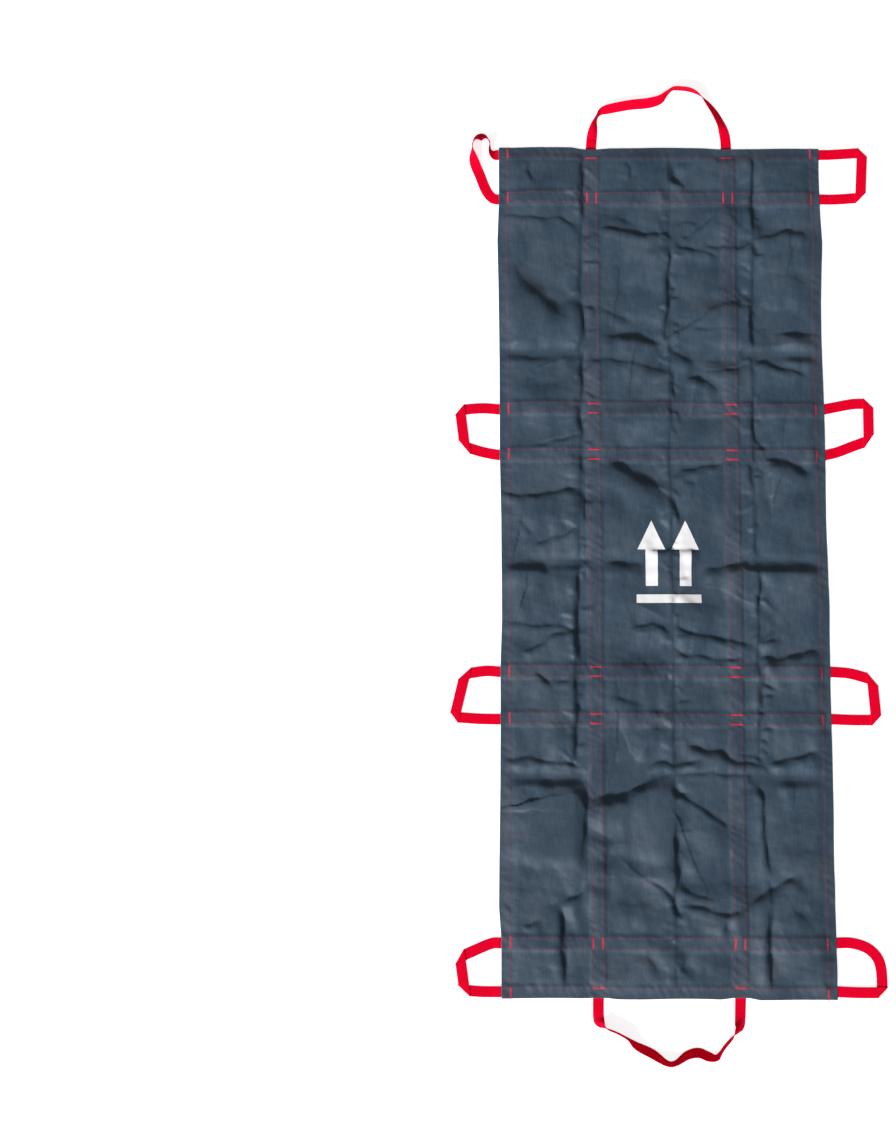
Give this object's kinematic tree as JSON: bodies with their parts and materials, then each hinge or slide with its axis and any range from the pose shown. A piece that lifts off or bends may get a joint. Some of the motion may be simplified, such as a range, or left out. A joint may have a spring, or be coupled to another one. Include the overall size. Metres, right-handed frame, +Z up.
{
  "type": "roll-up rescue stretcher",
  "caption": "Soft foldable carry sheet of coated cloth with webbing sewn underneath, looped into carrying handles along both sides and at head and foot.",
  "frame": {"origin": "on the floor under the middle of the stretcher's outline, loops included", "axes": "+Y to the head end, +X to the right seen from above with the head away, +Z up"},
  "size_m": [1.0068, 2.3029, 0.025],
  "materials": {
    "coated_cloth": "slate blue coated cloth, dull, with fold creases",
    "red_webbing": "bright red flat-woven polyester webbing and thread"
  },
  "bodies": {
    "head": {"head_middle_panel": "coated_cloth", "head_left_long_strap": "red_webbing", "head_right_long_strap": "red_webbing", "cross_run_1a_middle": "red_webbing", "cross_run_1b_middle": "red_webbing"},
    "upper": {"upper_middle_panel": "coated_cloth", "upper_left_long_strap": "red_webbing", "upper_right_long_strap": "red_webbing", "cross_run_2a_middle": "red_webbing", "cross_run_2b_middle": "red_webbing"},
    "lower": {"lower_middle_panel": "coated_cloth", "lower_left_long_strap": "red_webbing", "lower_right_long_strap": "red_webbing", "cross_run_3a_middle": "red_webbing", "cross_run_3b_middle": "red_webbing"},
    "foot": {"foot_middle_panel": "coated_cloth", "foot_left_long_strap": "red_webbing", "foot_right_long_strap": "red_webbing", "cross_run_4a_middle": "red_webbing", "cross_run_4b_middle": "red_webbing"},
    "head_left": {"head_left_panel": "coated_cloth", "cross_run_1a_left": "red_webbing", "cross_run_1b_left": "red_webbing"},
    "head_right": {"head_right_panel": "coated_cloth", "cross_run_1a_right": "red_webbing", "cross_run_1b_right": "red_webbing"},
    "upper_left": {"upper_left_panel": "coated_cloth", "cross_run_2a_left": "red_webbing", "cross_run_2b_left": "red_webbing"},
    "upper_right": {"upper_right_panel": "coated_cloth", "cross_run_2a_right": "red_webbing", "cross_run_2b_right": "red_webbing"},
    "lower_left": {"lower_left_panel": "coated_cloth", "cross_run_3a_left": "red_webbing", "cross_run_3b_left": "red_webbing"},
    "lower_right": {"lower_right_panel": "coated_cloth", "cross_run_3a_right": "red_webbing", "cross_run_3b_right": "red_webbing"},
    "foot_left": {"foot_left_panel": "coated_cloth", "cross_run_4a_left": "red_webbing", "cross_run_4b_left": "red_webbing"},
    "foot_right": {"foot_right_panel": "coated_cloth", "cross_run_4a_right": "red_webbing", "cross_run_4b_right": "red_webbing"},
    "left_handle_1": {"left_handle_1": "red_webbing"},
    "right_handle_1": {"right_handle_1": "red_webbing"},
    "left_handle_2": {"left_handle_2": "red_webbing"},
    "right_handle_2": {"right_handle_2": "red_webbing"},
    "left_handle_3": {"left_handle_3": "red_webbing"},
    "right_handle_3": {"right_handle_3": "red_webbing"},
    "left_handle_4": {"left_handle_4": "red_webbing"},
    "right_handle_4": {"right_handle_4": "red_webbing"},
    "head_handle": {"head_handle": "red_webbing"},
    "foot_handle": {"foot_handle": "red_webbing"}
  },
  "joints": [
    {"name": "middle_fold", "type": "hinge", "parent": "lower", "child": "upper", "pos_m": [0, 0, 0.0023], "axis": [1, 0, 0], "range_deg": [-170, 0]},
    {"name": "head_fold", "type": "hinge", "parent": "upper", "child": "head", "pos_m": [0, 0.5, 0.0061], "axis": [1, 0, 0], "range_deg": [0, 150]},
    {"name": "foot_fold", "type": "hinge", "parent": "lower", "child": "foot", "pos_m": [0, -0.5, 0.0061], "axis": [-1, 0, 0], "range_deg": [0, 150]},
    {"name": "left_side_fold", "type": "hinge", "parent": "lower", "child": "lower_left", "pos_m": [-0.19, -0.25, 0.0061], "axis": [0, -1, 0], "range_deg": [-165, 0]},
    {"name": "left_side_fold_upper", "type": "hinge", "parent": "upper", "child": "upper_left", "pos_m": [-0.19, 0.25, 0.0061], "axis": [0, -1, 0], "range_deg": [-165, 0]},
    {"name": "left_side_fold_head", "type": "hinge", "parent": "head", "child": "head_left", "pos_m": [-0.19, 0.75, 0.0061], "axis": [0, -1, 0], "range_deg": [-165, 0]},
    {"name": "left_side_fold_foot", "type": "hinge", "parent": "foot", "child": "foot_left", "pos_m": [-0.19, -0.75, 0.0061], "axis": [0, -1, 0], "range_deg": [-165, 0]},
    {"name": "right_side_fold", "type": "hinge", "parent": "lower", "child": "lower_right", "pos_m": [0.19, -0.25, 0.0061], "axis": [0, 1, 0], "range_deg": [-165, 0]},
    {"name": "right_side_fold_upper", "type": "hinge", "parent": "upper", "child": "upper_right", "pos_m": [0.19, 0.25, 0.0061], "axis": [0, 1, 0], "range_deg": [-165, 0]},
    {"name": "right_side_fold_head", "type": "hinge", "parent": "head", "child": "head_right", "pos_m": [0.19, 0.75, 0.0061], "axis": [0, 1, 0], "range_deg": [-165, 0]},
    {"name": "right_side_fold_foot", "type": "hinge", "parent": "foot", "child": "foot_right", "pos_m": [0.19, -0.75, 0.0061], "axis": [0, 1, 0], "range_deg": [-165, 0]},
    {"name": "left_handle_1_swing", "type": "hinge", "parent": "head_left", "child": "left_handle_1", "pos_m": [-0.3859, 0.9325, 0.0027], "axis": [0, 1, 0], "range_deg": [-95, 80]},
    {"name": "right_handle_1_swing", "type": "hinge", "parent": "head_right", "child": "right_handle_1", "pos_m": [0.3859, 0.9325, 0.0027], "axis": [0, -1, 0], "range_deg": [-95, 80]},
    {"name": "left_handle_2_swing", "type": "hinge", "parent": "upper_left", "child": "left_handle_2", "pos_m": [-0.3859, 0.31083, 0.0027], "axis": [0, 1, 0], "range_deg": [-95, 80]},
    {"name": "right_handle_2_swing", "type": "hinge", "parent": "upper_right", "child": "right_handle_2", "pos_m": [0.3859, 0.31083, 0.0027], "axis": [0, -1, 0], "range_deg": [-95, 80]},
    {"name": "left_handle_3_swing", "type": "hinge", "parent": "lower_left", "child": "left_handle_3", "pos_m": [-0.3859, -0.31083, 0.0027], "axis": [0, 1, 0], "range_deg": [-95, 80]},
    {"name": "right_handle_3_swing", "type": "hinge", "parent": "lower_right", "child": "right_handle_3", "pos_m": [0.3859, -0.31083, 0.0027], "axis": [0, -1, 0], "range_deg": [-95, 80]},
    {"name": "left_handle_4_swing", "type": "hinge", "parent": "foot_left", "child": "left_handle_4", "pos_m": [-0.3859, -0.9325, 0.0027], "axis": [0, 1, 0], "range_deg": [-95, 80]},
    {"name": "right_handle_4_swing", "type": "hinge", "parent": "foot_right", "child": "right_handle_4", "pos_m": [0.3859, -0.9325, 0.0027], "axis": [0, -1, 0], "range_deg": [-95, 80]},
    {"name": "head_handle_swing", "type": "hinge", "parent": "head", "child": "head_handle", "pos_m": [0, 1.0009, 0.0008], "axis": [-1, 0, 0], "range_deg": [-60, 95]},
    {"name": "foot_handle_swing", "type": "hinge", "parent": "foot", "child": "foot_handle", "pos_m": [0, -1.0009, 0.0008], "axis": [1, 0, 0], "range_deg": [-60, 95]}
  ],
  "couplings": [
    {"joint": "left_side_fold_upper", "follows": "left_side_fold", "ratio": 1},
    {"joint": "left_side_fold_head", "follows": "left_side_fold", "ratio": 1},
    {"joint": "left_side_fold_foot", "follows": "left_side_fold", "ratio": 1},
    {"joint": "right_side_fold_upper", "follows": "right_side_fold", "ratio": 1},
    {"joint": "right_side_fold_head", "follows": "right_side_fold", "ratio": 1},
    {"joint": "right_side_fold_foot", "follows": "right_side_fold", "ratio": 1}
  ]
}
